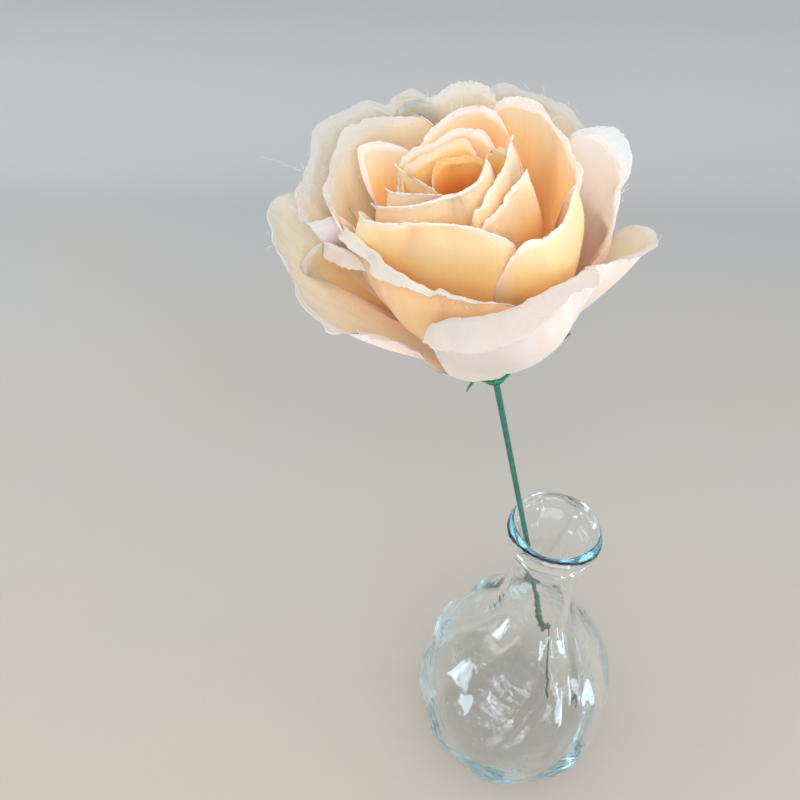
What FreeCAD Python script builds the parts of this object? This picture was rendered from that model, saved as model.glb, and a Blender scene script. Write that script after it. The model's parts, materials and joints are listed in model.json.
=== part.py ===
"""A swirled glass bud vase holding one artificial rose on a plastic-coated wire stem.

The document is in millimetres. +Z is up and the origin is the centre of the vase's flat foot. The stem
leans in the XZ plane: its cut end stands on the glass floor and its side leans to the mouth at -X. The
flower head is built about the stem's own axis, its height counted from the underside of the petals.
"""

import math
import os

import FreeCAD
import Part
import Sketcher

V = FreeCAD.Vector
OUT = "parts"
POLES_PER_LOBE = 8
FLAT = 1e-6

doc = FreeCAD.newDocument("bud_vase")
sheet = doc.addObject("Spreadsheet::Sheet", "Dims")
workings = doc.addObject("Spreadsheet::Sheet", "Workings")

DIMS = [
    # vase
    ("foot_radius", 27.0),
    ("floor_height", 6.0),
    ("floor_radius", 20.0),
    ("wall", 3.2),
    ("neck_wall", 2.3),
    ("neck_from_z", 95.0),
    ("heel_top_z", 20.0),
    ("lobe_count", 8),
    ("lobe_depth_out", 2.9),
    ("lobe_depth_in", 1.5),
    ("lobe_start_deg", -52.0),
    ("lobe_start_z", 60.0),
    ("twist_deg_per_mm", 0.65),
    ("lobe_sharpness", 1.9),
    ("lobe_rise_z", 1.0),
    ("lobe_rise_over", 22.0),
    ("lobe_fall_z", 116.0),
    ("lobe_fall_over", 52.0),
    # stem
    ("lean_deg", 13.7),
    ("stem_foot_x", 24.7),
    ("stem_foot_z", 6.6),
    ("stem_length", 239.0),
    ("stem_head_at", 227.0),
    ("wire_radius", 0.5),
    ("sleeve_bore_radius", 0.52),
    ("sleeve_radius", 0.9),
    ("wire_setback", 0.6),
    # flower head, below the petals
    ("socket_radius", 0.95),
    ("socket_deep", 13.0),
    ("peg_radius", 2.2),
    ("peg_low", -3.6),
    ("peg_top", 17.0),
    ("peg_nose", 1.3),
    ("peg_nose_length", 1.5),
    ("collar_radius", 3.1),
    ("collar_low", -3.2),
    ("collar_high", -1.9),
    ("calyx_radius", 4.7),
    ("calyx_drop", 1.9),
    ("calyx_thick", 0.8),
    ("calyx_lip", 0.4),
    ("calyx_boss_radius", 3.4),
    ("sepal_count", 5),
    ("sepal_length", 17.0),
    ("sepal_half_width", 2.1),
    ("sepal_root_half_width", 1.26),
    ("sepal_tip_half_width", 0.3),
    ("sepal_root_inset", 1.0),
    ("sepal_shoulder", 3.5),
    ("sepal_hub_radius", 5.0),
    ("sepal_thick", 0.4),
    ("fit_gap", 0.05),
    ("turning_gap", 0.05),
    # petals and the spacers between them
    ("petal_thick", 0.6),
    ("disc_thick", 0.4),
    ("layer_pitch", 2.2),
    ("spacer_radius", 4.2),
    ("slit_open", 0.62),
    ("slit_root_half_width", 0.8),
    ("slit_above", 2.0),
    # bud
    ("bud_low", 17.4),
    ("bud_neck_gap", 0.5),
    ("bud_lower_bulge", 28.0),
    ("bud_upper_bulge", 16.0),
    ("bud_tip_radius", 0.8),
    ("bud_belly_radius", 6.0),
    ("bud_belly_height", 33.0),
    ("bud_top", 47.0),
]

# Control points (radius, height) of the vase: the outside from the foot to just under the lip, the rolled
# lip over the top and into the mouth, and the rounded heel inside, from the bulb's wall to the floor.
SIDE = [
    (30.5, 0.0),
    (36.4, 3.2),
    (41.0, 11.5),
    (42.9, 24.0),
    (42.4, 38.0),
    (39.9, 52.0),
    (34.8, 65.5),
    (27.3, 78.5),
    (19.6, 90.0),
    (14.9, 101.0),
    (12.8, 113.0),
    (12.2, 125.0),
    (12.4, 135.0),
    (12.9, 141.0),
]
LIP = [(15.7, 143.6), (16.9, 147.6), (15.9, 151.6), (13.6, 152.6), (11.6, 151.2), (10.9, 147.5)]
HEEL = [(37.4, 14.5), (33.5, 7.8), (28.0, 6.0)]
PROFILES = {"side": SIDE, "lip": LIP, "heel": HEEL}

# One row for each die-cut petal sheet, from the outermost, which lies lowest on the peg, to the innermost:
# the radius and height of its rim, of the upper and the lower fold of its wall, then its flat hub's radius,
# its number of petals, the first slit in degrees and the slits' depth
LAYERS = [
    (45.0, 43.0, 32.0, 27.0, 14.0, 11.0, 7.0, 5, 22.0, 26.0),
    (40.5, 49.0, 30.0, 31.0, 13.0, 13.5, 6.6, 5, 58.0, 24.0),
    (34.0, 53.5, 28.0, 34.0, 12.4, 16.0, 6.2, 5, 10.0, 22.0),
    (27.5, 56.0, 24.5, 36.0, 11.8, 18.5, 5.8, 4, 40.0, 20.0),
    (21.5, 57.5, 20.5, 38.0, 11.0, 20.5, 5.4, 4, 5.0, 18.0),
    (16.0, 58.5, 16.5, 39.0, 10.0, 22.0, 5.0, 3, 30.0, 15.0),
    (11.0, 59.0, 12.0, 40.0, 8.8, 24.0, 4.6, 3, 75.0, 12.0),
]
LAYER_FIELDS = (
    "rim_radius",
    "rim_height",
    "upper_radius",
    "upper_height",
    "lower_radius",
    "lower_height",
    "hub_radius",
    "petals",
    "slit_deg",
    "slit_depth",
)


def fill_sheet():
    """Writes the driving dimensions, one row each: name, number, alias."""
    rows = list(DIMS)
    for number, values in enumerate(LAYERS):
        rows += [(f"layer{number}_{field}", value) for field, value in zip(LAYER_FIELDS, values)]
        half_gap = f"=layer{number}_rim_radius * sin(180 deg / layer{number}_petals) * slit_open"
        rows += [(f"layer{number}_slit_half_gap", half_gap)]
    for name, points in PROFILES.items():
        for number, (radius, height) in enumerate(points):
            rows += [(f"{name}{number}_radius", radius), (f"{name}{number}_height", height)]
    for row, (alias, value) in enumerate(rows, start=1):
        sheet.set(f"A{row}", alias)
        sheet.set(f"B{row}", str(value))
        sheet.setAlias(f"B{row}", alias)
    doc.recompute()


def dim(alias):
    """The sheet's number for a dimension."""
    value = sheet.get(alias)
    return float(getattr(value, "Value", value))


def value_of(expression):
    """What an expression in the sheet's own aliases comes to."""
    workings.set("A1", "=" + bound(expression))
    workings.recompute()
    result = workings.get("A1")
    return float(getattr(result, "Value", result))


def bound(expression):
    """The same expression as another object has to write it."""
    words = []
    for piece in expression.split():
        words.append(f"{sheet.Name}.{piece}" if piece[0].isalpha() else piece)
    return " ".join(words)


# ---------------------------------------------------------------- sketches


def origin_plane(body, role):
    return next(f for f in body.Origin.OriginFeatures if f.Role == role)


def new_body(label):
    body = doc.addObject("PartDesign::Body", label)
    body.Label = label
    return body


def new_sketch(body, name, role):
    sketch = body.newObject("Sketcher::SketchObject", name)
    sketch.AttachmentSupport = (origin_plane(body, role), [""])
    sketch.MapMode = "FlatFace"
    return sketch


def pin_vertex(sketch, edge, end, x, y):
    """Holds one end of an edge at (x, y), where both are expressions in the sheet's aliases."""
    for kind, expression in (("DistanceX", x), ("DistanceY", y)):
        number = sketch.addConstraint(Sketcher.Constraint(kind, -1, 1, edge, end, value_of(expression)))
        sketch.setExpression(f"Constraints[{number}]", bound(expression))


def arc_through(start, finish, radius):
    """The shorter arc from start to finish, anticlockwise about its centre, of the given radius."""
    chord = finish - start
    to_centre = math.sqrt(radius * radius - chord.Length ** 2 / 4)
    side = V(-chord.y, chord.x, 0).normalize()
    centre = (start + finish) / 2 + side * to_centre
    first, last = (math.atan2(p.y - centre.y, p.x - centre.x) for p in (start, finish))
    return Part.ArcOfCircle(Part.Circle(centre, V(0, 0, 1), radius), first, last + (last < first) * math.tau)


def closed_outline(sketch, vertices, arcs=None):
    """A closed outline through (x, y) expressions. arcs gives, for the edge that leaves a vertex, the
    expression of its radius and its turn: 1 keeps the centre on the left of the way, -1 on its right."""
    arcs = arcs or {}
    points = [V(value_of(x), value_of(y), 0) for x, y in vertices]
    ends = []
    for i, point in enumerate(points):
        after = points[(i + 1) % len(points)]
        if i not in arcs:
            sketch.addGeometry(Part.LineSegment(point, after), False)
            ends.append((1, 2))
            continue
        radius, turn = arcs[i]
        start, finish = (point, after) if turn > 0 else (after, point)
        curve = arc_through(start, finish, value_of(radius))
        sketch.addGeometry(curve, False)
        ends.append((1, 2) if turn > 0 else (2, 1))
    for i in range(len(points)):
        after = (i + 1) % len(points)
        sketch.addConstraint(Sketcher.Constraint("Coincident", i, ends[i][1], after, ends[after][0]))
    for i, (x, y) in enumerate(vertices):
        pin_vertex(sketch, i, ends[i][0], x, y)
    for i, (radius, _) in arcs.items():
        number = sketch.addConstraint(Sketcher.Constraint("Radius", i, value_of(radius)))
        sketch.setExpression(f"Constraints[{number}]", bound(radius))


def circle(sketch, radius):
    """A circle about the sketch's origin whose radius is an expression."""
    number = sketch.addGeometry(Part.Circle(V(0, 0, 0), V(0, 0, 1), value_of(radius)), False)
    sketch.addConstraint(Sketcher.Constraint("Coincident", number, 3, -1, 1))
    held = sketch.addConstraint(Sketcher.Constraint("Radius", number, value_of(radius)))
    sketch.setExpression(f"Constraints[{held}]", bound(radius))


def pad(body, sketch, length, name="Pad"):
    feature = body.newObject("PartDesign::Pad", name)
    feature.Profile = sketch
    feature.Length = value_of(length)
    feature.setExpression("Length", bound(length))
    return feature


def revolve(body, sketch, name="Revolution"):
    """A full turn about the body's own Z."""
    feature = body.newObject("PartDesign::Revolution", name)
    feature.Profile = sketch
    feature.ReferenceAxis = (sketch, ["V_Axis"])
    feature.Angle = 360
    return feature


def revolved_body(label, vertices, arcs=None):
    """A piece turned about the stem's axis from an outline of (radius, height) expressions."""
    body = new_body(label)
    sketch = new_sketch(body, label + "_profile", "XZ_Plane")
    closed_outline(sketch, vertices, arcs)
    revolve(body, sketch, label + "_turned")
    return body


# ---------------------------------------------------------------- placing


def stem_axis():
    lean = math.radians(dim("lean_deg"))
    return V(-math.sin(lean), 0, math.cos(lean))


def lean_turn():
    return FreeCAD.Rotation(V(0, 1, 0), -dim("lean_deg"))


def put_on_stem(body, along):
    """Stands a body's own Z on the stem's axis, that far up from the stem's cut end."""
    foot = V(dim("stem_foot_x"), 0, dim("stem_foot_z"))
    body.Placement = FreeCAD.Placement(foot + stem_axis() * along, lean_turn())


# ---------------------------------------------------------------- vase


def profile(name):
    """The (radius, height) control points that the sheet holds under a profile's name."""
    count = len(PROFILES[name])
    return [(dim(f"{name}{i}_radius"), dim(f"{name}{i}_height")) for i in range(count)]


def inner_profile():
    """The inside follows the outside at the wall's thickness, then rounds into the floor."""
    side = []
    for radius, height in profile("side"):
        if height > dim("heel_top_z"):
            wall = dim("neck_wall") if height > dim("neck_from_z") else dim("wall")
            side.append((radius - wall, height))
    return side[::-1] + profile("heel") + [(dim("floor_radius"), dim("floor_height"))]


def lobe_strength(z):
    """How deep the swirl is at a height: nothing at the foot and in the neck, full over the bulb."""
    rise = min(max((z - dim("lobe_rise_z")) / dim("lobe_rise_over"), 0.0), 1.0)
    fall = min(max((dim("lobe_fall_z") - z) / dim("lobe_fall_over"), 0.0), 1.0)
    return math.sin(rise * math.pi / 2) * math.sin(fall * math.pi / 2)


def swirl(radius, z, angle, depth):
    """The radius once the valleys between the lobes are pressed in."""
    valley = math.radians(dim("lobe_start_deg") + dim("twist_deg_per_mm") * (z - dim("lobe_start_z")))
    press = (0.5 + 0.5 * math.cos(dim("lobe_count") * (angle - valley))) ** dim("lobe_sharpness")
    return radius - depth * lobe_strength(z) * press


def vase_shape():
    """One surface goes up the outside, over the lip and down the inside. The foot and floor close it."""
    foot = [(dim("foot_radius"), 0.0)]
    outside = [(r, z, dim("lobe_depth_out")) for r, z in foot + profile("side") + profile("lip")]
    inside = [(r, z, dim("lobe_depth_in")) for r, z in inner_profile()]
    rings = outside + inside
    around = int(dim("lobe_count")) * POLES_PER_LOBE
    # A cubic spline about a circle runs a little inside its control points, so they stand out by that much.
    stand_out = 3 / (2 + math.cos(math.tau / around))
    poles = []
    for i in range(around):
        angle = math.tau * i / around
        column = []
        for r, z, depth in rings:
            radius = swirl(r, z, angle, depth) * stand_out
            column.append(V(radius * math.cos(angle), radius * math.sin(angle), z))
        poles.append(column)
    degree = 3
    spans = len(rings) - degree
    surface = Part.BSplineSurface()
    surface.buildFromPolesMultsKnots(
        poles,
        [1] * (around + 1),
        [degree + 1] + [1] * (spans - 1) + [degree + 1],
        [float(i) for i in range(around + 1)],
        [float(i) for i in range(spans + 1)],
        True,
        False,
        degree,
        degree,
    )
    wall = surface.toShape()
    rims = [e for e in wall.Edges if e.isClosed() and e.BoundBox.ZLength < FLAT]
    caps = [Part.Face(Part.Wire([e])) for e in rims]
    shell = Part.Shell([wall] + caps)
    shell.sewShape()
    solid = Part.Solid(shell)
    if solid.Volume < 0:
        solid.reverse()
    return solid


def build_vase():
    """No sketched feature makes the twisted swirl, so the shape is set from the sheet's numbers."""
    vase = doc.addObject("Part::Feature", "vase_glass")
    vase.Label = "vase_glass"
    vase.Shape = vase_shape()
    return vase


# ---------------------------------------------------------------- stem


def build_stem():
    """A steel wire in a green plastic sleeve. The sleeve's end is cut flush with the floor of the vase."""
    wire = new_body("stem_wire")
    sketch = new_sketch(wire, "wire_section", "XY_Plane")
    circle(sketch, "wire_radius")
    pad(wire, sketch, "stem_length - 2 * wire_setback", "wire_length")
    put_on_stem(wire, dim("wire_setback"))

    sleeve = new_body("stem_sleeve")
    sketch = new_sketch(sleeve, "sleeve_section", "XY_Plane")
    circle(sketch, "sleeve_radius")
    circle(sketch, "sleeve_bore_radius")
    pad(sleeve, sketch, "stem_length", "sleeve_length")
    put_on_stem(sleeve, 0)
    return [wire, sleeve]


# ---------------------------------------------------------------- flower head


def build_peg():
    """A moulded peg, blind-bored from below for the stem. Everything in the head is threaded on it."""
    bore, peg = "socket_radius", "peg_radius"
    peg_nose_low = "peg_top - peg_nose_length"
    outline = [
        (bore, "peg_low"),
        (peg, "peg_low"),
        (peg, peg_nose_low),
        ("peg_nose", "peg_top"),
        ("0", "peg_top"),
        ("0", "socket_deep"),
        (bore, "socket_deep"),
    ]
    return revolved_body("petal_peg", outline)


def build_collar():
    """A push-on ring that keeps the calyx on the peg."""
    bore, rim = "peg_radius + fit_gap", "collar_radius"
    low, high = "collar_low", "collar_high"
    return revolved_body("peg_collar", [(bore, low), (rim, low), (rim, high), (bore, high)])


def build_calyx():
    """A shallow moulded dish with a thick boss, which carries the sepals and the petals."""
    bore = "peg_radius + fit_gap"
    outline = [
        (bore, "0 - calyx_drop + fit_gap"),
        ("calyx_boss_radius", "0 - calyx_drop + fit_gap"),
        ("calyx_radius", "0 - calyx_thick"),
        ("calyx_radius + calyx_lip", "0 - calyx_thick / 3"),
        ("calyx_radius", "0"),
        (bore, "0"),
    ]
    return revolved_body("calyx_cup", outline)


def build_sepals():
    """A thin moulded star of narrow sepals, with a hole for the peg."""
    body = new_body("sepal_star")
    hub = new_sketch(body, "sepal_hub", "XY_Plane")
    circle(hub, "sepal_hub_radius")
    circle(hub, "peg_radius + fit_gap")
    pad(body, hub, "sepal_thick", "hub_sheet")
    blade = new_sketch(body, "sepal_blade", "XY_Plane")
    inner = "sepal_hub_radius - sepal_root_inset"
    shoulder = "sepal_hub_radius + sepal_shoulder"
    outline = [
        (inner, "0 - sepal_root_half_width"),
        (shoulder, "0 - sepal_half_width"),
        ("sepal_length", "0 - sepal_tip_half_width"),
        ("sepal_length", "sepal_tip_half_width"),
        (shoulder, "sepal_half_width"),
        (inner, "sepal_root_half_width"),
    ]
    closed_outline(blade, outline)
    first = pad(body, blade, "sepal_thick", "blade_sheet")
    turned = body.newObject("PartDesign::PolarPattern", "blades")
    turned.Originals = [first]
    turned.Axis = (hub, ["N_Axis"])
    turned.Angle = 360
    turned.Occurrences = int(dim("sepal_count"))
    turned.setExpression("Occurrences", bound("sepal_count"))
    body.Tip = turned
    return body


def disc_low(number):
    """Height of a petal sheet's hub, as an expression: sheets and spacers stack up from the sepals."""
    return f"sepal_thick + turning_gap + {number} * layer_pitch"


def build_layer(number, label):
    """A die-cut petal sheet: a flat hub on the peg, a wall folded up in three conical bands, and slits."""
    rim_radius, rim_height = f"layer{number}_rim_radius", f"layer{number}_rim_height"
    hub = f"layer{number}_hub_radius"
    bore = "peg_radius + fit_gap"
    low = disc_low(number)
    names = [f"layer{number}_{fold}" for fold in ("lower", "upper", "rim")]
    folds = [(f"{name}_radius", f"{name}_height") for name in names]
    outside = [(bore, low), (hub, low)] + folds
    inside = [(f"{radius} - petal_thick", height) for radius, height in reversed(folds)]
    inside += [(hub, f"{low} + disc_thick"), (bore, f"{low} + disc_thick")]
    body = revolved_body(label, outside + inside)

    slit = new_sketch(body, label + "_slit", "XZ_Plane")
    half_gap = f"layer{number}_slit_half_gap"
    above = f"{rim_height} + slit_above"
    root = f"{rim_height} - layer{number}_slit_depth"
    closed_outline(slit, [
        ("0 - slit_root_half_width", root),
        ("slit_root_half_width", root),
        (half_gap, above),
        (f"0 - {half_gap}", above),
    ])
    first = body.newObject("PartDesign::Pocket", label + "_slit_cut")
    first.Profile = slit
    first.Type = "ThroughAll"
    first.Reversed = False
    turned = body.newObject("PartDesign::PolarPattern", label + "_slits")
    turned.Originals = [first]
    turned.Axis = (slit, ["V_Axis"])
    turned.Angle = 360
    turned.Occurrences = int(dim(f"layer{number}_petals"))
    turned.setExpression("Occurrences", bound(f"layer{number}_petals"))
    body.Tip = turned
    return body


def build_spacer(number, label):
    """A washer that holds two petal sheets apart on the peg."""
    low = f"{disc_low(number)} + disc_thick"
    high = disc_low(number + 1)
    bore, rim = "peg_radius + fit_gap", "spacer_radius"
    return revolved_body(label, [(bore, low), (rim, low), (rim, high), (bore, high)])


def build_bud():
    """A foam teardrop on the peg's nose, which the innermost petals are rolled about."""
    outline = [
        ("0", "bud_low"),
        ("peg_nose + bud_neck_gap", "bud_low"),
        ("bud_belly_radius", "bud_belly_height"),
        ("bud_tip_radius", "bud_top"),
        ("0", "bud_top"),
    ]
    return revolved_body("bud_core", outline, {1: ("bud_lower_bulge", 1), 2: ("bud_upper_bulge", 1)})


def build_head():
    pieces = [build_peg(), build_collar(), build_calyx(), build_sepals(), build_bud()]
    last = len(LAYERS) - 1
    for number in range(len(LAYERS)):
        pieces.append(build_layer(number, f"petal_layer_{last + 1 - number}"))
    for number in range(last):
        pieces.append(build_spacer(number, f"petal_spacer_{last - number}"))
    for piece in pieces:
        put_on_stem(piece, dim("stem_head_at"))
    for number in range(len(LAYERS)):
        body = doc.getObject(f"petal_layer_{last + 1 - number}")
        turn = FreeCAD.Rotation(V(0, 0, 1), dim(f"layer{number}_slit_deg"))
        body.Placement = FreeCAD.Placement(body.Placement.Base, lean_turn().multiply(turn))
    return pieces


# ---------------------------------------------------------------- build, check and write


def check(pieces):
    """Stops if any object of the document failed, or a piece is not one valid solid."""
    failed = [o.Label for o in doc.Objects if "Invalid" in o.State or "Error" in o.State]
    if failed:
        raise RuntimeError(f"these objects failed: {failed}")
    for piece in pieces:
        shape = piece.Shape
        if shape.isNull() or not shape.isValid() or len(shape.Solids) != 1:
            raise RuntimeError(f"{piece.Label} is not one valid solid")
        print(f"{piece.Label}: {len(shape.Solids)} solid, {shape.Volume:.1f} mm3")


def main():
    fill_sheet()
    pieces = [build_vase()] + build_stem() + build_head()
    doc.recompute()
    check(pieces)
    os.makedirs(OUT, exist_ok=True)
    for piece in pieces:
        piece.Shape.exportStep(os.path.join(OUT, piece.Label + ".step"))


main()
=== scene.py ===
"""The looks of a swirled glass bud vase with one artificial rose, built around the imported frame.

Petals are described in the flower's own axes, in millimetres. Radius and height are counted from the place
where the head sits on the stem. Azimuth turns about the stem, from the side that the stem leans away from.
"""
import json
import math
import random

import bpy
from mathutils import Matrix, Vector
from mathutils import noise

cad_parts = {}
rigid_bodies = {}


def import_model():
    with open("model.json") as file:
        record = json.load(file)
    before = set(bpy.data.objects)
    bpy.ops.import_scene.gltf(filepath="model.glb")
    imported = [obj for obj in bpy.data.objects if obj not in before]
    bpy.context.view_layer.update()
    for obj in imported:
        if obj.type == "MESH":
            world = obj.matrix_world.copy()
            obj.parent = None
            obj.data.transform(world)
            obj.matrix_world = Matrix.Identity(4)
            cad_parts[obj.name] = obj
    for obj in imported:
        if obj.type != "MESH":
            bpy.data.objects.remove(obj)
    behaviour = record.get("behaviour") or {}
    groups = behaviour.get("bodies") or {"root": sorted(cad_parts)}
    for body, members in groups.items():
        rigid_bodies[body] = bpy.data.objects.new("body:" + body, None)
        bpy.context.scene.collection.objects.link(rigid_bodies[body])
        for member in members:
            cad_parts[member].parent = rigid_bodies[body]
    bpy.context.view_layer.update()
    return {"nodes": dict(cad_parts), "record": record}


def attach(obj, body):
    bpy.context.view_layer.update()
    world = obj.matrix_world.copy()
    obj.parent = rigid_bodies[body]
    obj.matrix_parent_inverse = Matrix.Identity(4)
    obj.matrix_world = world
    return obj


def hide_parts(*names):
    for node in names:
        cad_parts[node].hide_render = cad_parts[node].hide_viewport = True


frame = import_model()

MM = 0.001
NODES = frame["nodes"]
JOINTS = {joint["name"]: joint for joint in frame["record"]["behaviour"]["joints"]}
HEAD = Vector(JOINTS["flower_turn"]["pos_m"])
AXIS = Vector(JOINTS["flower_turn"]["axis"]).normalized()
DEPTH = Vector((0, 1, 0))
SIDE = DEPTH.cross(AXIS).normalized()
SEED = 7
GLASS_BOUNCES, PETAL_BOUNCES = 28, 12

# ------------------------------------------------------------ flower axes


def at(azimuth, radius, height):
    """A point given in the flower's axes (degrees, mm, mm), in the row frame."""
    turn = math.radians(azimuth)
    flat = SIDE * math.cos(turn) + DEPTH * math.sin(turn)
    return HEAD + (flat * radius + AXIS * height) * MM


def underside(node):
    """How far up the stem's axis a CAD node starts, in mm above the head's seat."""
    return min((v.co - HEAD).dot(AXIS) for v in NODES[node].data.vertices) / MM


def spline(points, t):
    """A point on a Catmull-Rom line through points, with t from 0 to 1."""
    spans = len(points) - 1
    place = min(max(t, 0.0), 1.0) * spans
    i = min(int(place), spans - 1)
    f = place - i
    p1, p2 = points[i], points[i + 1]
    p0 = points[i - 1] if i else [2 * a - b for a, b in zip(p1, p2)]
    p3 = points[i + 2] if i + 2 <= spans else [2 * b - a for a, b in zip(p1, p2)]
    out = []
    for a, b, c, d in zip(p0, p1, p2, p3):
        slope = (c - a) * f
        square = (2 * a - 5 * b + 4 * c - d) * f ** 2
        cube = (3 * b - a - 3 * c + d) * f ** 3
        out.append(0.5 * (2 * b + slope + square + cube))
    return out


# ------------------------------------------------------------ material helpers


def new_material(name):
    """A material with its node tree and its shader."""
    material = bpy.data.materials.new(name)
    material.use_nodes = True
    tree = material.node_tree
    return material, tree, tree.nodes["Principled BSDF"]


def node(tree, kind, **values):
    """A new node. Each value goes to the input of that name, or else to the setting of that name."""
    made = tree.nodes.new(kind)
    for key, value in values.items():
        if key in made.inputs:
            made.inputs[key].default_value = value
        else:
            setattr(made, key, value)
    return made


def link(tree, start, finish):
    """Joins an output to an input."""
    tree.links.new(start, finish)


def ramp(tree, source, stops):
    """Colours a source that runs from 0 to 1. Each stop is (place, colour)."""
    made = tree.nodes.new("ShaderNodeValToRGB")
    elements = made.color_ramp.elements
    while len(elements) < len(stops):
        elements.new(0.5)
    for element, (place, colour) in zip(elements, stops):
        element.position = place
        element.color = (*colour, 1)
    link(tree, source, made.inputs[0])
    return made.outputs[0]


def grey(value):
    """A neutral colour."""
    return (value, value, value)


def noise_at(tree, scale, detail, coords=None):
    """Noise from 0 to 1, in the object's own coordinates when no others are given."""
    made = node(tree, "ShaderNodeTexNoise", Scale=scale, Detail=detail)
    if coords is None:
        coords = tree.nodes.new("ShaderNodeTexCoord").outputs["Object"]
    link(tree, coords, made.inputs["Vector"])
    return made.outputs["Fac"]


def bump(tree, shader, height, strength, distance):
    """Lets a height roughen a shader's surface, by a distance in metres."""
    made = node(tree, "ShaderNodeBump", Strength=strength, Distance=distance)
    link(tree, height, made.inputs["Height"])
    link(tree, made.outputs[0], shader.inputs["Normal"])


def math_node(tree, operation, first, second):
    """Two numbers worked on. Each may be a value or another node's output."""
    made = tree.nodes.new("ShaderNodeMath")
    made.operation = operation
    for socket, value in zip(made.inputs, (first, second)):
        if isinstance(value, (int, float)):
            socket.default_value = value
        else:
            link(tree, value, socket)
    return made.outputs[0]


def mixed(tree, factor, first, second):
    """Two colours mixed. Each part may be a value or another node's output."""
    made = tree.nodes.new("ShaderNodeMix")
    made.data_type = "RGBA"
    slots = ((made.inputs[0], factor), (made.inputs[6], first), (made.inputs[7], second))
    for socket, value in slots:
        if isinstance(value, (int, float)):
            socket.default_value = value
        elif isinstance(value, tuple):
            socket.default_value = (*value, 1)
        else:
            link(tree, value, socket)
    return made.outputs[2]


# ------------------------------------------------------------ materials


DYE_STOPS, DYE_WANDER = (0.42, 0.60, 0.71, 0.86), 0.16
VEIN_TINT, VEIN_HEIGHT = 0.04, 0.02
WEAVE_SCALE, WEAVE_HEIGHT = 900.0, 0.03
FOLD_SCALE = (7.0, 4.0, 1.0)
FABRIC_BUMP, FABRIC_BUMP_DEPTH = 0.4, 0.0024


def dyed(tree, along, cloud, dyes):
    """The dye from a petal's foot to its rim. Its fronts wander, as they do in cloth that soaked it up."""
    wander = math_node(tree, "MULTIPLY", math_node(tree, "SUBTRACT", cloud, 0.5), DYE_WANDER)
    return ramp(tree, math_node(tree, "ADD", along, wander), list(zip(DYE_STOPS, dyes)))


def frayed(tree, along, cloud):
    """How whitish the cut edge is, which is nothing away from the rim."""
    worn = ramp(tree, cloud, [(0.35, grey(0.3)), (0.65, grey(0.9))])
    rim = ramp(tree, along, [(0.95, grey(0.0)), (0.995, grey(0.5))])
    return math_node(tree, "MULTIPLY", rim, worn)


def woven(tree):
    """The height of the crossing threads of a plain weave."""
    coords = tree.nodes.new("ShaderNodeTexCoord").outputs["Object"]
    warp = node(tree, "ShaderNodeTexWave", Scale=WEAVE_SCALE, bands_direction="X")
    weft = node(tree, "ShaderNodeTexWave", Scale=WEAVE_SCALE, bands_direction="Z")
    for thread in (warp, weft):
        link(tree, coords, thread.inputs["Vector"])
    return math_node(tree, "ADD", warp.outputs["Fac"], weft.outputs["Fac"])


def folded(tree, uv):
    """The height of soft folds that run up a petal."""
    stretched = node(tree, "ShaderNodeMapping", Scale=FOLD_SCALE)
    link(tree, uv, stretched.inputs["Vector"])
    return noise_at(tree, 1.0, 3.0, stretched.outputs[0])


def soft_cloth(shader):
    """Lets light into the thin cloth, which comes out warmer, and gives its fibres a faint sheen."""
    shader.inputs["Subsurface Weight"].default_value = 0.75
    shader.inputs["Subsurface Radius"].default_value = (1.0, 0.7, 0.5)
    shader.inputs["Subsurface Scale"].default_value = 0.0045
    shader.inputs["Sheen Weight"].default_value = 0.25
    shader.inputs["Sheen Roughness"].default_value = 0.5


def petal_fabric(name, deep, middle, pale, edge):
    """Thin woven polyester: four dyes from the heart to the rim, and whitish where the cut edge frays."""
    material, tree, shader = new_material(name)
    uv = tree.nodes.new("ShaderNodeTexCoord").outputs["UV"]
    split = tree.nodes.new("ShaderNodeSeparateXYZ")
    link(tree, uv, split.inputs[0])
    along = split.outputs["Y"]
    cloud = noise_at(tree, 90.0, 4.0)
    veins = node(tree, "ShaderNodeTexWave", Scale=14.0, Distortion=2.2, Detail=3.0)
    link(tree, uv, veins.inputs["Vector"])
    vein_dyes = ramp(tree, veins.outputs["Fac"], [(0.3, middle), (0.8, pale)])
    veined = mixed(tree, VEIN_TINT, dyed(tree, along, cloud, (deep, middle, pale, edge)), vein_dyes)
    link(tree, mixed(tree, frayed(tree, along, cloud), veined, edge), shader.inputs["Base Color"])
    weave = math_node(tree, "MULTIPLY", woven(tree), WEAVE_HEIGHT)
    fine = math_node(tree, "ADD", weave, math_node(tree, "MULTIPLY", veins.outputs["Fac"], VEIN_HEIGHT))
    surface = math_node(tree, "ADD", folded(tree, uv), fine)
    bump(tree, shader, surface, FABRIC_BUMP, FABRIC_BUMP_DEPTH)
    link(tree, ramp(tree, cloud, [(0.3, grey(0.72)), (0.8, grey(0.9))]), shader.inputs["Roughness"])
    soft_cloth(shader)
    return material


GLASS_TINT, GLASS_DENSITY = (0.50, 0.81, 0.87, 1), 11.0
GLASS_IOR = 1.5


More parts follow.
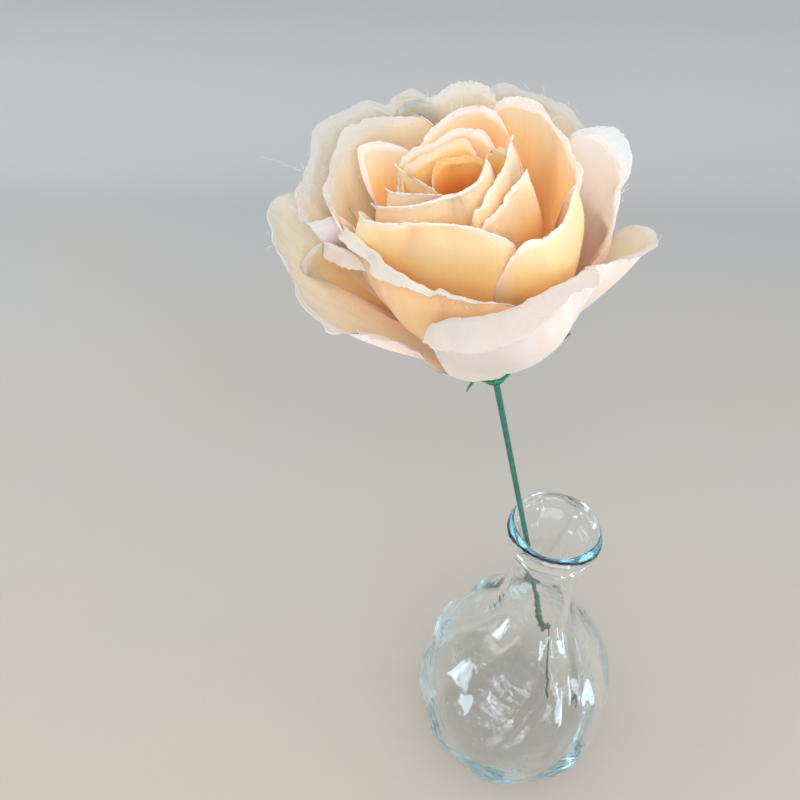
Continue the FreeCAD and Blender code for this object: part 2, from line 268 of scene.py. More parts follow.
def clear_glass():
    """Blown glass, slightly uneven as hot-worked glass is. Its aqua tint deepens where it is thick."""
    material, tree, shader = new_material("clear_glass")
    waves = noise_at(tree, 55.0, 2.0)
    fine = noise_at(tree, 260.0, 2.0)
    tint = ramp(tree, waves, [(0.3, (0.98, 0.995, 1.0)), (0.7, (1.0, 1.0, 1.0))])
    link(tree, tint, shader.inputs["Base Color"])
    link(tree, ramp(tree, fine, [(0.3, grey(0.0)), (0.8, grey(0.02))]), shader.inputs["Roughness"])
    surface = math_node(tree, "ADD", waves, math_node(tree, "MULTIPLY", fine, 0.2))
    bump(tree, shader, surface, 0.35, 0.001)
    shader.inputs["Transmission Weight"].default_value = 1.0
    shader.inputs["IOR"].default_value = GLASS_IOR
    absorption = node(tree, "ShaderNodeVolumeAbsorption", Density=GLASS_DENSITY)
    absorption.inputs["Color"].default_value = GLASS_TINT
    link(tree, absorption.outputs[0], tree.nodes["Material Output"].inputs["Volume"])
    return material


def dyed_plastic(name, dark, light, gloss):
    """Green plastic with draw lines along the stem, scuffs and uneven gloss."""
    material, tree, shader = new_material(name)
    coords = tree.nodes.new("ShaderNodeTexCoord").outputs["Object"]
    stretched = node(tree, "ShaderNodeMapping", Scale=(1.0, 1.0, 0.05))
    link(tree, coords, stretched.inputs["Vector"])
    lines = noise_at(tree, 1800.0, 2.0, stretched.outputs[0])
    scuffs = noise_at(tree, 300.0, 4.0)
    colour = ramp(tree, math_node(tree, "MULTIPLY", math_node(tree, "ADD", lines, scuffs), 0.5),
                  [(0.35, dark), (0.7, light)])
    link(tree, colour, shader.inputs["Base Color"])
    rough = ramp(tree, scuffs, [(0.3, grey(gloss)), (0.8, grey(gloss + 0.2))])
    link(tree, rough, shader.inputs["Roughness"])
    bump(tree, shader, lines, 0.2, 0.0002)
    return material


def drawn_steel():
    """Drawn wire with fine scratches."""
    material, tree, shader = new_material("steel_wire")
    scratches = noise_at(tree, 1500.0, 4.0)
    link(tree, ramp(tree, scratches, [(0.3, grey(0.32)), (0.8, grey(0.55))]), shader.inputs["Base Color"])
    link(tree, ramp(tree, scratches, [(0.3, grey(0.3)), (0.8, grey(0.5))]), shader.inputs["Roughness"])
    shader.inputs["Metallic"].default_value = 1.0
    return material


EDGE = (0.93, 0.87, 0.80)
# Each sheet's four dyes, from the foot of a petal to its rim: on the side that faces the flower's heart, and
# on the outer side.
INSIDE = {
    7: ((0.96, 0.68, 0.40), (0.76, 0.58, 0.37), (0.55, 0.47, 0.38), (0.48, 0.43, 0.39)),
    6: ((0.98, 0.60, 0.24), (0.90, 0.60, 0.30), (0.83, 0.66, 0.44), (0.72, 0.63, 0.51)),
    5: ((0.98, 0.42, 0.09), (0.97, 0.56, 0.21), (0.95, 0.70, 0.43), (0.92, 0.81, 0.69)),
    4: ((0.98, 0.37, 0.06), (0.97, 0.51, 0.15), (0.95, 0.67, 0.36), (0.92, 0.80, 0.66)),
    3: ((0.95, 0.29, 0.02), (0.94, 0.38, 0.04), (0.93, 0.52, 0.13), (0.92, 0.70, 0.40)),
    2: ((0.86, 0.18, 0.01), (0.85, 0.22, 0.02), (0.85, 0.31, 0.05), (0.85, 0.48, 0.16)),
    1: ((0.80, 0.13, 0.01), (0.79, 0.16, 0.01), (0.80, 0.21, 0.02), (0.81, 0.31, 0.07)),
}
OUTSIDE = {
    7: ((0.92, 0.64, 0.48), (0.91, 0.69, 0.61), (0.87, 0.73, 0.70), (0.76, 0.69, 0.64)),
    6: ((0.81, 0.39, 0.12), (0.69, 0.41, 0.18), (0.61, 0.43, 0.26), (0.75, 0.66, 0.56)),
    5: ((1.0, 0.54, 0.12), (1.0, 0.61, 0.18), (1.0, 0.72, 0.38), (0.95, 0.83, 0.68)),
    4: ((1.0, 0.48, 0.09), (1.0, 0.61, 0.20), (0.97, 0.74, 0.43), (0.94, 0.84, 0.72)),
    3: ((1.0, 0.42, 0.07), (0.99, 0.57, 0.18), (0.97, 0.71, 0.41), (0.94, 0.81, 0.66)),
    2: ((0.97, 0.34, 0.04), (0.95, 0.48, 0.10), (0.94, 0.62, 0.26), (0.93, 0.77, 0.54)),
    1: ((0.96, 0.28, 0.03), (0.95, 0.42, 0.07), (0.94, 0.55, 0.19), (0.93, 0.66, 0.34)),
}
FOAM_DYES = ((0.80, 0.22, 0.03), (0.82, 0.24, 0.04), (0.84, 0.27, 0.05), (0.85, 0.30, 0.07))
MATERIALS = {
    "bud_foam": petal_fabric("bud_foam", *FOAM_DYES),
    "threads": petal_fabric("loose_threads", EDGE, EDGE, EDGE, EDGE),
    "stem_plastic": dyed_plastic("stem_plastic", (0.012, 0.10, 0.07), (0.03, 0.20, 0.155), 0.25),
    "calyx_plastic": dyed_plastic("calyx_plastic", (0.012, 0.17, 0.07), (0.02, 0.30, 0.15), 0.35),
    "spacer_plastic": dyed_plastic("spacer_plastic", (0.6, 0.58, 0.52), (0.75, 0.73, 0.68), 0.5),
    "steel_wire": drawn_steel(),
    "clear_glass": clear_glass(),
}

# ------------------------------------------------------------ petals

# Each petal is (rim, belly, lip turn, lip width, ruffle). The rim is a line of (azimuth, radius, height)
# points from one side of the petal's foot over its top to the other. A point may go on with its share of the
# lip, and then with its own belly. Belly is how far the wall stands out below the rim, as a share of the
# rim's radius. Lip turn is how far the edge rolls outward, in degrees. Lip width and ruffle are in mm.
PETALS = {
    7: [
        ([(-122, 11, 8, 0, 1), (-119, 21, 23, 0, 1), (-113, 27.0, 36, 0.1, 0.97),
          (-108, 31, 44, 0.5, 1), (-98, 32, 47, 0.9, 1.04), (-84, 33, 47.5, 1, 1.09),
          (-68, 33, 48, 0.85, 1.24), (-55, 33, 48, 0.55, 1.24), (-47, 33.5, 47.5, 0.6, 1.12),
          (-40, 34, 47, 0.2, 1.0), (-34, 36, 46, 0.05, 0.8), (-28, 38, 45, 0.2, 0.7),
          (-19, 42, 44, 0.1, 0.76), (-12, 40, 43.5, 0.2, 0.74), (-3, 35, 40, 0.1, 0.85),
          (4, 25, 24, 0, 1), (7, 12, 10, 0, 1)], 1.18, 150, 9.5, 0.6),
        ([(140, 16, 16), (143, 32, 40), (148, 44, 48), (153, 52, 50), (158, 54, 49.5), (166, 51, 47),
          (174, 48, 45), (184, 45, 42.5), (193, 42, 40.5), (201, 39, 38.5), (209, 36, 36.5),
          (210, 32, 34), (213, 29, 32), (220, 26, 29), (229, 24, 26), (236, 23, 21), (242, 14, 11)],
         0.74, 35, 2.5, 1.6),
        ([(160, 12, 16), (158, 24, 36), (157, 32, 46), (159, 36, 47.5), (163, 40, 48), (163, 42.5, 49),
          (158, 44.5, 50.5), (152, 46, 52.5), (146, 47.5, 55), (140, 49, 57), (134, 50, 58.5),
          (128, 51, 59.5), (122, 51, 60.5), (116, 49, 60.5), (112, 46, 59), (108, 47, 61),
          (102, 45, 60.5), (97, 43, 57), (93, 41, 50), (90, 34, 38), (88, 18, 18)], 0.84, 55, 4.0, 1.3),
        ([(95, 20, 18), (92, 36, 40), (88, 43, 50), (82, 46, 55.5), (75, 45, 57.5), (65, 45, 57),
          (56, 44, 55.5), (49, 44, 53.5), (43, 42, 50.5), (36, 39, 46), (31, 34, 36), (28, 20, 18)],
         0.88, 50, 3.5, 1.2),
        ([(50, 18, 14), (44, 32, 30), (32, 38, 37), (16, 35, 37), (4, 32, 34), (-6, 25, 24),
          (-10, 14, 10)], 0.95, 30, 3.0, 1.0),
    ],
    6: [
        ([(147, 13, 14, 0), (150, 27, 34, 0.2), (155, 34, 44, 0.7), (164, 31, 47, 1),
          (173, 27.5, 48.5, 0.9), (185, 24.5, 49.5, 0.8), (200, 22.5, 50, 0.75), (212, 22.5, 50.5, 0.9),
          (228, 22.5, 50, 0.7), (241, 23.5, 49.5, 0.45), (254, 25, 48.5, 0.4), (264, 26.5, 48, 0.35),
          (274, 28.5, 47.5, 0.3), (284, 29, 46, 0.2), (291, 28, 42, 0.1), (298, 25, 30, 0),
          (302, 14, 14, 0)], 1.35, 165, 5.5, 1.0),
        ([(202, 12, 14, 0), (202, 19, 33, 0), (198, 21, 40, 0.15), (190, 23, 42.5, 0.35),
          (181, 26, 43.5, 0.75), (173, 30, 44, 1), (168, 34, 43.5, 0.9), (165, 37.5, 43, 0.6),
          (168, 40, 42, 0.7), (172, 42, 40.5, 0.8), (175, 42, 37, 0.4), (173, 35, 28, 0.1),
          (168, 14, 14, 0)], 1.0, 150, 7.0, 0.9),
        ([(52, 16, 16), (48, 29, 32), (44, 33, 44), (39, 34, 51.5), (35, 36, 54.5), (29, 38, 54.5),
          (21, 38, 54), (13, 38, 52.5), (6, 37, 51), (0, 35, 49.5), (-6, 34, 47.5), (-12, 33, 44),
          (-17, 29, 37), (-21, 22, 27), (-23, 12, 14)], 1.02, 60, 3.2, 1.1),
        ([(122, 17, 16), (118, 33, 42), (113, 42, 54), (107, 44, 58), (101, 43, 59), (95, 42, 59),
          (91, 42, 59.5), (86, 42, 60.2), (81, 42, 60.2), (76, 40, 59.5), (71, 37, 58), (67, 36, 55),
          (63, 35, 46), (60, 30, 34), (57, 16, 16)], 0.94, 45, 3.0, 1.0),
        ([(176, 13, 16), (170, 26, 38), (163, 33, 48), (155, 37, 52), (147, 40, 54.5), (138, 41, 56.5),
          (130, 41, 58), (120, 41, 58.5), (110, 39, 58.5), (102, 36, 58), (97, 35, 52), (94, 31, 38),
          (92, 16, 18)], 0.95, 60, 3.2, 1.9),
    ],
    5: [
        ([(150, 12, 16), (158, 22, 44), (168, 24, 53), (178, 23, 54), (194, 18, 54.5), (214, 14, 56),
          (236, 13, 57), (260, 13, 57), (280, 15, 56.5), (294, 18, 54.5), (303, 19, 51), (309, 17, 43),
          (314, 14, 31), (318, 10, 16)], 1.8, 85, 3.2, 0.8),
        ([(-84, 12, 16), (-76, 19, 40), (-66, 22, 50), (-58, 23, 53.5), (-48, 25, 54), (-38, 26, 54.5),
          (-30, 26, 55.5), (-22, 26, 57), (-15, 26, 58), (-8, 23, 52), (-3, 18, 38), (0, 12, 16)],
         1.3, 50, 2.8, 0.7),
        ([(84, 14, 16), (81, 25, 36), (77, 30, 50), (72, 31, 58), (66, 31, 61), (58, 32, 60.5),
          (50, 32, 59.5), (42, 31, 57.5), (34, 30, 55.5), (26, 28, 54.5), (18, 27, 54.5), (8, 26, 55),
          (-2, 25, 54), (-8, 23, 46), (-14, 18, 34), (-18, 12, 16)], 1.1, 35, 2.5, 1.0),
        ([(126, 14, 16), (123, 24, 38), (118, 27, 49), (112, 26, 55), (106, 27, 57.5), (98, 29, 58.5),
          (90, 31, 60), (82, 31, 60.5), (74, 30, 60), (67, 28, 59), (61, 26, 57), (56, 26, 49),
          (52, 24, 36), (48, 14, 16)], 1.05, 45, 2.8, 1.1),
        ([(147, 12, 16), (145, 22, 36), (142, 28, 46), (140, 31, 51), (136, 34, 56), (133, 35, 58),
          (128, 33, 58.5), (123, 28, 58.5), (119, 23, 57), (112, 18, 48), (106, 12, 16)],
         1.05, 85, 3.6, 1.8),
    ],
    4: [
        ([(148, 11, 18), (155, 18, 44), (164, 21, 53), (174, 18, 55), (188, 15, 57), (205, 13, 59),
          (225, 11, 60), (245, 9, 60.5), (268, 8, 60.5), (292, 8, 61), (312, 8, 62), (330, 8, 64),
          (345, 8, 63.5), (352, 9, 54), (358, 11, 18)], 1.62, 95, 3.4, 0.7),
        ([(-98, 11, 18), (-86, 12, 44), (-72, 12, 53), (-58, 12, 55.5), (-42, 12, 57), (-26, 13, 58.5),
          (-14, 15, 60.5), (-6, 15, 59), (0, 16, 52), (2, 15, 40), (4, 11, 18)], 1.5, 30, 2.0, 0.4),
        ([(-92, 9, 18), (-84, 10, 46), (-74, 10, 56), (-60, 10, 58), (-45, 10, 60), (-28, 10, 61),
          (-10, 11, 62), (8, 12, 63), (22, 14, 64), (32, 15, 61), (40, 15, 52), (46, 13, 40),
          (50, 11, 18)], 1.45, 30, 2.0, 0.4),
        ([(150, 11, 18), (142, 18, 46), (132, 21, 55), (120, 22, 58), (108, 21, 58.5), (98, 22, 59),
          (88, 23, 59.5), (78, 22, 59), (68, 20, 58.5), (61, 19, 56), (55, 19, 50), (51, 19, 40),
          (47, 12, 18)], 1.15, 50, 2.8, 0.9),
    ],
    3: [
        ([(60, 9, 20), (68, 14, 48), (80, 17, 57.5), (94, 17, 58.5), (110, 17, 58), (126, 17, 57.5),
          (140, 17, 56.5), (150, 15, 50), (158, 9, 20)], 1.2, 45, 2.5, 0.7),
        ([(-30, 9, 20), (-20, 10, 48), (-4, 11, 58), (14, 12, 60), (32, 14, 60), (48, 15, 59),
          (60, 15, 57), (70, 13, 48), (76, 9, 20)], 1.3, 35, 2, 0.5),
        ([(130, 9, 20), (140, 17, 46), (152, 19, 55), (164, 17, 57.5), (178, 13, 58.5), (196, 9, 59),
          (220, 7, 59.5), (250, 6, 59.5), (275, 6, 58), (290, 7, 48), (300, 9, 20)], 1.6, 70, 2.8, 0.6),
    ],
    2: [
        ([(20, 8, 20), (32, 9, 46), (50, 12, 55), (68, 13, 57), (88, 13, 57.5), (108, 13, 57),
          (124, 11, 55), (134, 9, 46), (142, 8, 20)], 1.25, 40, 2, 0.5),
        ([(118, 8, 20), (124, 13, 44), (130, 18, 55), (137, 19, 58.5), (143, 15, 58.5), (150, 10, 58),
          (166, 7, 58), (190, 5, 57.5), (220, 5, 56), (245, 6, 48), (255, 8, 20)], 1.4, 60, 2.2, 0.5),
        ([(-100, 8, 20), (-84, 8, 44), (-60, 7, 55), (-30, 6, 58), (0, 7, 59), (24, 8, 58), (40, 8, 50),
          (48, 8, 20)], 1.35, 40, 2, 0.4),
    ],
    1: [
        ([(-140, 7.2, 20), (-110, 6.6, 40), (-60, 5.2, 49), (0, 5.0, 51), (50, 5.6, 46), (70, 7.2, 20)],
         1.6, 30, 1.5, 0.3),
        ([(30, 7.4, 20), (60, 6.4, 41), (110, 5.8, 51), (170, 5.6, 52), (220, 6.0, 45), (240, 7.4, 20)],
         1.5, 30, 1.5, 0.3),
        ([(150, 7.0, 20), (180, 5.8, 40), (230, 4.8, 48), (290, 4.4, 49), (340, 4.8, 43),
          (360, 7.0, 20)], 1.8, 30, 1.5, 0.3),
    ],
}
# One petal of a sheet took hardly any dye: (outside, inside) dyes by sheet and petal. On the inside its foot
# is near-white, lighter than its rim: painted light in the crevice between petals, where shade falls.
PALE_PETALS_AND_PAINTED_LIGHT = {
    (6, 2): (((0.96, 0.76, 0.55), (0.95, 0.80, 0.66), (0.93, 0.82, 0.72), (0.92, 0.86, 0.80)),
             ((1.0, 0.96, 0.88), (1.0, 0.96, 0.89), (0.88, 0.83, 0.78), (0.72, 0.70, 0.68))),
}
# Mesh steps across a petal, up its wall and along its lip.
ACROSS, UP, ROLL = 110, 32, 14
# Lengths in mm: where the petals start, how far the widest wall swells, and how thick the cloth is.
HUB_RADIUS, WIDEST, FABRIC = 4.4, 42.5, 0.22
# The wall: how narrow its foot is, where it has spread out, how it leaves the hub, where its belly is, and
# how much of its height it takes to turn to the rim.
FOOT_SHARE, SPREAD_BY = 0.35, 0.55
START_OUT, START_UP, BELLY_UP, RIM_RISE = 0.06, 0.14, 0.62, 0.36
# The lip: how much of it turns when rolled and when folded, and the turns, in degrees, between which it
# changes from one to the other.
FLAP, FOLDED_FLAP = 0.8, 0.45
ROLL_UP_TO, FOLD_FROM = 70, 130
# How fast the lip, its turn and the belly fade towards a petal's sides, and the least share of the lip.
LIP_FADE, TURN_FADE, BELLY_FADE, LEAST_LIP = 1.3, 0.38, 0.7, 0.1
# Unevenness as (length along the rim in mm, changes on the way up, shift that keeps the kinds apart).
WAVE, FRILL, CREASE, FRAY = (13, 1.6, 0), (5.5, 1.5, 0.4), (2.6, 2.5, 0.7), (0.8, 0, 0.2)
# Waves and frills are as many times the petal's ruffle; creases and fraying are in mm.
WAVE_DEPTH, FRILL_DEPTH, CREASE_DEPTH, FRAY_DEPTH = 1.6, 1.35, 0.7, 0.65
FRILL_LIFT, CLOSEST = 0.8, 0.8
PETAL_SHIFT, PETAL_STEP = 3.7, 0.05


def bezier(p0, p1, p2, p3, t):
    """A number on a cubic Bezier curve, with t from 0 to 1."""
    s = 1 - t
    return s ** 3 * p0 + 3 * s * s * t * p1 + 3 * s * t * t * p2 + t ** 3 * p3


def lip_line(heading, turn, width):
    """The lip's steps from the wall's end, as (out, up). A strong turn folds it, and a weak one rolls it."""
    out, up, line = 0.0, 0.0, []
    folded = min(max((turn - ROLL_UP_TO) / (FOLD_FROM - ROLL_UP_TO), 0.0), 1.0)
    rolled = ROLL * (FLAP + (FOLDED_FLAP - FLAP) * folded)
    step = math.radians(turn) / rolled
    for k in range(ROLL):
        heading -= step * min(max(rolled - k, 0.0), 1.0)
        out += width / ROLL * math.cos(heading)
        up += width / ROLL * math.sin(heading)
        line.append((out, up))
    return line


def column(rim_point, middle, low, belly, turn, width):
    """One line of a petal from the hub to the end of its lip, as (azimuth, radius, height). Its highest
    point is the stated rim."""
    azimuth, radius, height = rim_point
    foot = middle + (azimuth - middle) * FOOT_SHARE
    heading = math.atan2(RIM_RISE * (height - low), radius * (1 - belly))
    lip = lip_line(heading, turn, width)
    crest = max(lip, key=lambda p: p[1])
    end_radius, end_height = radius - crest[0], height - max(crest[1], 0.0)
    full = min(radius * belly, WIDEST)
    start_radius = HUB_RADIUS + START_OUT * (full - HUB_RADIUS)
    start_height = low + START_UP * (end_height - low)
    belly_height = low + BELLY_UP * (end_height - low)
    line = []
    for i in range(UP + 1):
        t = i / UP
        r = bezier(HUB_RADIUS, start_radius, full, end_radius, t)
        h = bezier(low, start_height, belly_height, end_height, t)
        spread = min(t / SPREAD_BY, 1.0)
        line.append((foot + (azimuth - foot) * (1 - (1 - spread) ** 2), r, h))
    line += [(azimuth, end_radius + out, end_height + up) for out, up in lip]
    return line


def wall(place, crown, middle, low, petal):
    """A petal's line at one place on its rim, where crown runs from 0 at its sides to 1 in its middle. Where
    the rim doesn't state its own, the lip narrows and the belly flattens towards the sides."""
    _, belly, turn, lip, _ = petal
    share = max(place[3], 0.0) if len(place) > 3 else crown ** LIP_FADE
    swell = place[4] if len(place) > 4 else 1 + (belly - 1) * (crown ** BELLY_FADE if belly > 1 else 1)
    width = lip * (LEAST_LIP + (1 - LEAST_LIP) * share)
    return column(place[:3], middle, low, swell, turn * share ** TURN_FADE, width)


def uneven(kind, travel, up, number):
    """Smooth unevenness of one kind, from -1 to 1, that differs from petal to petal."""
    length, changes, shift = kind
    return noise.noise(Vector((travel / length, up * changes, (number + shift) * PETAL_SHIFT)))


def petal_grid(petal, low, number):
    """The petal's points, column by column, with ruffles and a frayed edge worked in."""
    rim, _, _, _, ruffle = petal
    if rim[0][0] > rim[-1][0]:
        rim = rim[::-1]
    middle = sum(p[0] for p in rim) / len(rim)
    typical = sum(p[1] for p in rim) / len(rim)
    grid = []
    for i in range(ACROSS + 1):
        across = i / ACROSS
        crown = math.sin(math.pi * across)
        place = spline(rim, across)
        travel = math.radians(place[0]) * typical
        line = wall(place, crown, middle, low, petal)
        points = []
        for j, (azimuth, radius, height) in enumerate(line):
            up = j / (len(line) - 1)
            wave = uneven(WAVE, travel, up, number) * ruffle * WAVE_DEPTH * up ** 2
            frill = uneven(FRILL, travel, up, number) * ruffle * FRILL_DEPTH * up ** 4
            crease = uneven(CREASE, travel, up, number) * CREASE_DEPTH * up
            fray = uneven(FRAY, travel, up, number) * FRAY_DEPTH * (j == len(line) - 1)
            out = max(radius + wave + frill + crease, HUB_RADIUS * CLOSEST)
            points.append(at(azimuth, out, height + frill * FRILL_LIFT + fray))
        grid.append(points)
    return grid


def petal_mesh(name, grids):
    """All the petals of one die-cut sheet in one mesh, with a UV that runs across and up each petal."""
    vertices, faces, uvs = [], [], []
    for grid in grids:
        start, rows = len(vertices), len(grid[0])
        for points in grid:
            vertices += points
        for i in range(len(grid) - 1):
            for j in range(rows - 1):
                corners = ((i, j), (i + 1, j), (i + 1, j + 1), (i, j + 1))
                faces.append([start + a * rows + b for a, b in corners])
                uvs += [(a / (len(grid) - 1), b / (rows - 1)) for a, b in corners]
    mesh = bpy.data.meshes.new(name)
    mesh.from_pydata(vertices, [], faces)
    layer = mesh.uv_layers.new(name="petal")
    for loop, uv in zip(layer.data, uvs):
        loop.uv = uv
    mesh.polygons.foreach_set("use_smooth", [True] * len(mesh.polygons))
    piece = bpy.data.objects.new(name, mesh)
    bpy.context.collection.objects.link(piece)
    return piece


def thicken(piece, thickness):
    """Gives a surface its thickness, in mm, half to each side."""
    solid = piece.modifiers.new("thickness", "SOLIDIFY")
    solid.thickness = thickness * MM
    solid.offset = 0


# Loose fibres, in mm: their own radius and steps, then the range of lengths, the curl and the root's depth
# of the short ones, and where the one long fibre starts, its length and its curl.
THREAD_RADIUS, THREAD_STEPS, THREADS_PER_PETAL = 0.055, 5, 9
SHORT_THREAD, SHORT_CURL, ROOT_DEPTH = (1.2, 3.2), 0.8, 0.6
LONG_THREAD_FROM, LONG_THREAD, LONG_CURL = (148, 47, 55), 16.0, 0.75
# The part of a rim, as shares of its line, from which fibres come loose.
LOOSE_PART = (0.2, 0.8)


def thread_line(start, draw, length, curl):
    """A few points of one loose fibre, which curls as it leaves the cloth."""
    heading = (start - HEAD).normalized()
    points = [start]
    for _ in range(THREAD_STEPS):
        heading = (heading + Vector([draw.uniform(-curl, curl) for _ in range(3)])).normalized()
        points.append(points[-1] + heading * length / THREAD_STEPS * MM)
    return points


def thread_lines():
    """The short fibres of the three outer sheets, and the long one."""
    draw = random.Random(SEED)
    lines = []
    for shape in PETALS[7] + PETALS[6] + PETALS[5]:
        for _ in range(THREADS_PER_PETAL):
            azimuth, radius, height = spline(shape[0], draw.uniform(*LOOSE_PART))[:3]
            start = at(azimuth, radius, height - ROOT_DEPTH)
            lines.append(thread_line(start, draw, draw.uniform(*SHORT_THREAD), SHORT_CURL))
    lines.append(thread_line(at(*LONG_THREAD_FROM), draw, LONG_THREAD, LONG_CURL))
    return lines


def loose_threads():
    """Fibres that have worked loose along the cut edges."""
    curve = bpy.data.curves.new("rose_threads", "CURVE")
    curve.dimensions = "3D"
    curve.bevel_depth = THREAD_RADIUS * MM
    curve.bevel_resolution = 1
    for points in thread_lines():
        strand = curve.splines.new("NURBS")
        strand.points.add(len(points) - 1)
        for point, place in zip(strand.points, points):
            point.co = (*place, 1)
        strand.order_u = 3
        strand.use_endpoint_u = True
    curve.materials.append(MATERIALS["threads"])
    piece = bpy.data.objects.new("rose_threads", curve)
    bpy.context.collection.objects.link(piece)
    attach(piece, "flower")


def dye_petals(piece, number, count):
    """Gives a sheet its two dyed sides, and its pale petals theirs, with painted light on the inside at the
    foot.
    Each side is one material.
    """
    pairs = [(OUTSIDE[number], INSIDE[number])]
    each = len(piece.data.polygons) // count
    for k in range(count):
        if (number, k) in PALE_PETALS_AND_PAINTED_LIGHT:
            for face in piece.data.polygons[k * each:(k + 1) * each]:
                face.material_index = 2 * len(pairs)
            pairs.append(PALE_PETALS_AND_PAINTED_LIGHT[number, k])
    for k, pair in enumerate(pairs):
        for side, dyes in zip(("outside", "inside"), pair):
            piece.data.materials.append(petal_fabric(f"petal_{number}_{side}_{k}", *dyes))
    piece.modifiers["thickness"].material_offset = 1


def petals():
    """The seven sheets of petals, each in place of its CAD node."""
    for number, shapes in PETALS.items():
        low = underside(f"petal_layer_{number}")
        grids = [petal_grid(shape, low + PETAL_STEP * k, number * 10 + k) for k, shape in enumerate(shapes)]
        piece = petal_mesh(f"rose_petals_{number}", grids)
        thicken(piece, FABRIC)
        dye_petals(piece, number, len(shapes))
        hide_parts(f"petal_layer_{number}")
        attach(piece, "flower")


# Each sepal is (azimuth, length, half width, rise at the tip), in degrees and mm. The three short ones
# droop, and the two long ones lie along the petals' underside.
SEPALS = [
    (-172, 6.3, 1.6, -1.3), (-158, 6.4, 0.6, -4.2), (-95, 2.6, 1.8, -0.4), (7, 19.2, 1.3, 6.2),
    (100, 15.0, 2.1, 2.5),
]
SEPAL_ACROSS, SEPAL_UP = 8, 18
# In mm: where sepals start, how high they lie on the cup, their least half width, how far their sides are
# raised, and their thickness.
SEPAL_FROM, SEPAL_REST, SEPAL_TIP, SEPAL_CUP, SEPAL_THICKNESS = 2.4, 0.14, 0.12, 0.3, 0.24
# How full the outline is at the root, how blunt it is, and how late along its length a sepal bends.
SEPAL_ROOT, SEPAL_BLUNT, SEPAL_BEND = 0.3, 0.8, 2.4


def sepal_grid(sepal, low):
    """One sepal's points, column by column."""
    middle, length, half_width, rise = sepal
    grid = []
    for i in range(SEPAL_ACROSS + 1):
        side = 2 * i / SEPAL_ACROSS - 1
        points = []
        for j in range(SEPAL_UP + 1):
            up = j / SEPAL_UP
            outline = math.sin(math.pi * min(SEPAL_ROOT + up * (1 - SEPAL_ROOT), 1.0)) ** SEPAL_BLUNT
            width = half_width * outline + SEPAL_TIP
            radius = SEPAL_FROM + up * length
            reach = math.degrees(side * width / radius)
            height = low + SEPAL_REST + rise * up ** SEPAL_BEND + SEPAL_CUP * side * side * up ** 2
            points.append(at(middle + reach, radius, height))
        grid.append(points)
    return grid


def sepals():
    """The green sepals, in place of the CAD star."""
    low = underside("sepal_star")
    piece = petal_mesh("rose_sepals", [sepal_grid(sepal, low) for sepal in SEPALS])
    thicken(piece, SEPAL_THICKNESS)
    piece.data.materials.append(MATERIALS["calyx_plastic"])
    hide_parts("sepal_star")
    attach(piece, "calyx")


# ------------------------------------------------------------ CAD nodes


def dress_nodes():
    """Gives each CAD node that stays in view its finished material."""
    slots = {s["node"]: s["material_slot"] for s in frame["record"]["subparts"]}
    for name, thing in NODES.items():
        if thing.hide_render or slots[name] not in MATERIALS:
            continue
        material = MATERIALS[slots[name]]
        if not thing.material_slots:
            thing.data.materials.append(material)
        for place in thing.material_slots:
            place.material = material
    # Renderers don't bend light rays into a shadow, so real glass would darken all it stands on.
    NODES["vase_glass"].visible_shadow = False


# ------------------------------------------------------------ camera, light and stage

LENS_OVER_WIDTH = 790 / 800
SENSOR = 36.0
CAMERA_AT = Vector((-0.0543, -0.1533, 0.3783))
PITCH_DOWN, CAMERA_ROLL = 47.0, 1.45


def camera():
    """The camera, which looks down at the flower from the front."""
    data = bpy.data.cameras.new("camera")
    data.sensor_width = SENSOR
    data.lens = SENSOR * LENS_OVER_WIDTH
    data.clip_start = 0.01
    eye = bpy.data.objects.new("camera", data)
    bpy.context.collection.objects.link(eye)
    tilt = Matrix.Rotation(math.radians(90 - PITCH_DOWN), 4, "X")
    roll = Matrix.Rotation(math.radians(CAMERA_ROLL), 4, "Z")
    eye.matrix_world = Matrix.Translation(CAMERA_AT) @ tilt @ roll
    bpy.context.scene.camera = eye


def area_light(name, place, target, size, radiance, colour):
    """A flat lamp, its size (width, height) in metres. It lights the scene, but the camera can't see it."""
    data = bpy.data.lights.new(name, "AREA")
    data.shape = "RECTANGLE"
    data.size, data.size_y = size
    data.energy = radiance * math.pi * size[0] * size[1]
    data.color = colour
    lamp = bpy.data.objects.new(name, data)
    lamp.location = place
    lamp.visible_camera = False
    lamp.rotation_euler = (Vector(target) - Vector(place)).to_track_quat("-Z", "Y").to_euler()
    bpy.context.collection.objects.link(lamp)
    return lamp


def light_only(lamps, things):
    """Lets these lamps light nothing but the named things."""
    lit = bpy.data.collections.new("lit_by_" + lamps[0].name)
    for thing in things:
        lit.objects.link(thing)
    for lamp in lamps:
        lamp.light_linking.receiver_collection = lit


# Each lamp is (name, place, target, (width, height), radiance, colour), in metres.
LAMPS = [
    ("front_window", (0.06, -0.88, 0.95), (0, 0, 0.2), (1.0, 0.9), 4.45, (1.0, 0.985, 0.965)),
    ("bounce_board", (0.05, -0.6, 0.15), (0, 0, 0.22), (0.8, 0.22), 2.4, (1.0, 0.96, 0.93)),
    ("side_window", (-0.8, 0.25, 0.75), (0, 0, 0.15), (0.4, 0.4), 6.0, (0.95, 0.98, 1.0)),
    ("sky_window", (0.21, 0.53, 1.39), (0, 0, 0.006), (0.13, 0.13), 7.0, (0.86, 0.86, 1.0)),
    ("glint_window", (0.75, -0.15, 0.55), (0, 0, 0.08), (0.12, 0.12), 30.0, (0.93, 0.97, 1.0)),
]
# Bright cards that only the glass sees, as a photographer sets them: (place, target, size), in metres.
GLASS_CARDS = [
    ((-0.141, -0.048, 0.028), (-0.025, -0.017, 0.065), (0.045, 0.05)),
    ((0.092, -0.117, 0.030), (0.012, -0.028, 0.068), (0.012, 0.055)),
    ((0.135, -0.075, 0.022), (0.027, -0.022, 0.060), (0.016, 0.040)),
]
CARD_RADIANCE, CARD_COLOUR = 8.0, (0.66, 0.85, 1.0)
ROOM_COLOUR, ROOM_STRENGTH = (0.95, 0.97, 1.0, 1), 0.72


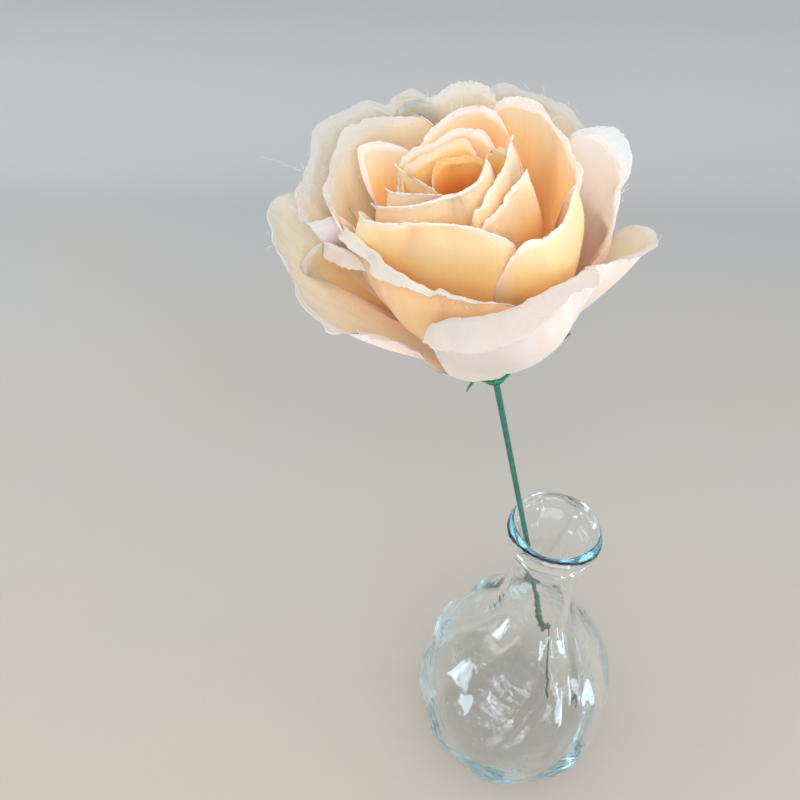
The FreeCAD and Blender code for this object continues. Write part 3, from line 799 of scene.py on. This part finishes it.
def lights():
    """Soft daylight from a wide front window, a side window and a patch of sky, with a small window for
    glints. A board lightens only the flower's crevices, and cards are seen only in the glass."""
    lamps = {lamp[0]: area_light(*lamp) for lamp in LAMPS}
    flower = [thing for thing in bpy.data.objects if thing.name.startswith("rose_")]
    light_only([lamps["bounce_board"]], flower)
    cards = [area_light(f"glass_card_{number}", *card, CARD_RADIANCE, CARD_COLOUR)
             for number, card in enumerate(GLASS_CARDS)]
    light_only(cards, [NODES["vase_glass"]])
    world = bpy.data.worlds.new("studio")
    world.use_nodes = True
    world.node_tree.nodes["Background"].inputs[0].default_value = ROOM_COLOUR
    world.node_tree.nodes["Background"].inputs[1].default_value = ROOM_STRENGTH
    bpy.context.scene.world = world


NEAR_CLOTH, FAR_CLOTH = (0.46, 0.42, 0.36), (0.42, 0.43, 0.44)
# The floor in metres: its half width, its near and far ends, the radius it sweeps up with and its top.
HALF_WIDTH, NEAR, FAR, SWEEP, TOP = 1.6, -1.2, 0.42, 0.12, 1.6
SWEEP_STEPS = 18
FLOOR_DROP = 0.3 * MM


def stage_cloth():
    """Pale cloth, warmer near the camera than far from it, with a faint weave."""
    material, tree, shader = new_material("stage_cloth")
    split = tree.nodes.new("ShaderNodeSeparateXYZ")
    link(tree, tree.nodes.new("ShaderNodeTexCoord").outputs["Object"], split.inputs[0])
    cloud = math_node(tree, "MULTIPLY", noise_at(tree, 6.0, 5.0), 0.5)
    depth = math_node(tree, "ADD", split.outputs["Y"], cloud)
    cloth = ramp(tree, depth, [(0.15, NEAR_CLOTH), (0.75, FAR_CLOTH)])
    link(tree, cloth, shader.inputs["Base Color"])
    bump(tree, shader, noise_at(tree, 900.0, 2.0), 0.15, 0.0005)
    shader.inputs["Roughness"].default_value = 0.95
    return material


def floor_profile():
    """The floor's line from its near end to its top, as (y, z)."""
    turns = [math.radians(90 / SWEEP_STEPS * k) for k in range(1, SWEEP_STEPS + 1)]
    curve = [(FAR + SWEEP * math.sin(turn), SWEEP * (1 - math.cos(turn))) for turn in turns]
    return [(NEAR, 0.0), (FAR, 0.0)] + curve + [(FAR + SWEEP, TOP)]


def floor():
    """A plain pale cloth floor that sweeps up behind."""
    profile = floor_profile()
    vertices = [(x, y, z - FLOOR_DROP) for y, z in profile for x in (-HALF_WIDTH, HALF_WIDTH)]
    faces = [(2 * k, 2 * k + 1, 2 * k + 3, 2 * k + 2) for k in range(len(profile) - 1)]
    mesh = bpy.data.meshes.new("floor")
    mesh.from_pydata(vertices, [], faces)
    mesh.polygons.foreach_set("use_smooth", [True] * len(faces))
    mesh.materials.append(stage_cloth())
    ground = bpy.data.objects.new("floor", mesh)
    bpy.context.collection.objects.link(ground)


def corners(box):
    """A box's two corners as plain lists."""
    return [list(corner) for corner in box]


camera()
floor()
petals()
loose_threads()
sepals()
dress_nodes()
lights()
bpy.context.scene.view_settings.view_transform = "Standard"
cycles = bpy.context.scene.cycles
cycles.max_bounces = GLASS_BOUNCES
cycles.transmission_bounces = GLASS_BOUNCES
cycles.glossy_bounces = GLASS_BOUNCES
cycles.diffuse_bounces = PETAL_BOUNCES
# The glass casts no shadow, so light that also came through it would be counted twice.
cycles.caustics_refractive = False
cycles.caustics_reflective = False
